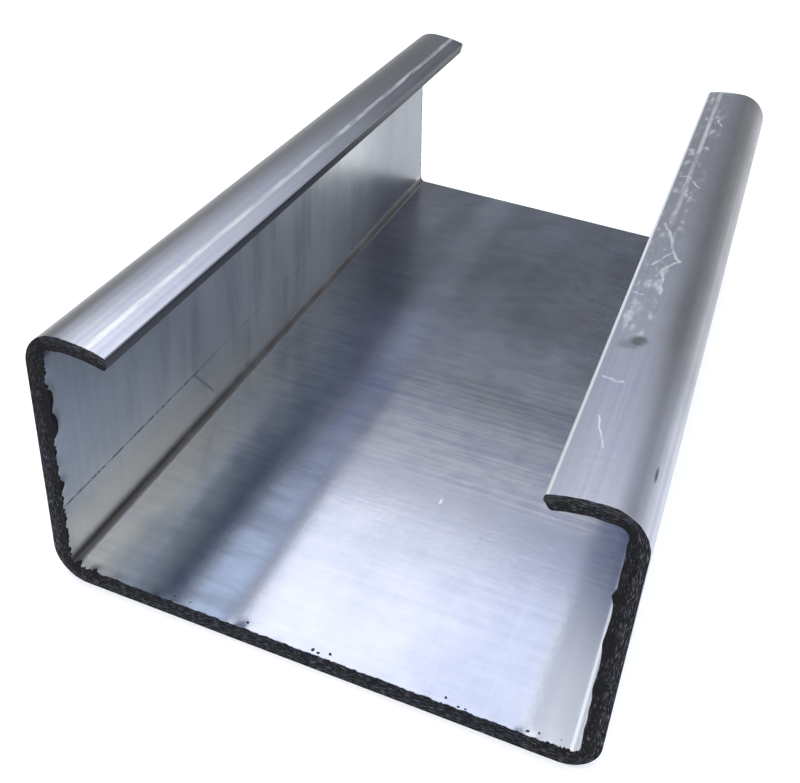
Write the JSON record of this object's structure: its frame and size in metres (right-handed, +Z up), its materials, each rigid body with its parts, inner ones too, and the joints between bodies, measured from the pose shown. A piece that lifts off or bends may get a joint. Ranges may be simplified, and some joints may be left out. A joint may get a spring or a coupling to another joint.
{
  "type": "galvanized steel lipped channel",
  "caption": "Short length of roll-formed, zinc-coated steel lipped channel: flat web, upright flanges and inturned lips, for framing, purlins and rails.",
  "frame": {"origin": "on the floor, under the middle of the web", "axes": "+Y along the length towards the far cut, +X across the web, +Z up through the mouth between the lips"},
  "size_m": [0.1, 0.1965, 0.0515],
  "materials": {
    "zinc_steel": "zinc coating with fine cross-brushed lines, lengthwise roll marks and scuffs, and dark burnt cut ends"
  },
  "bodies": {
    "root": {"channel": "zinc_steel"}
  },
  "joints": []
}
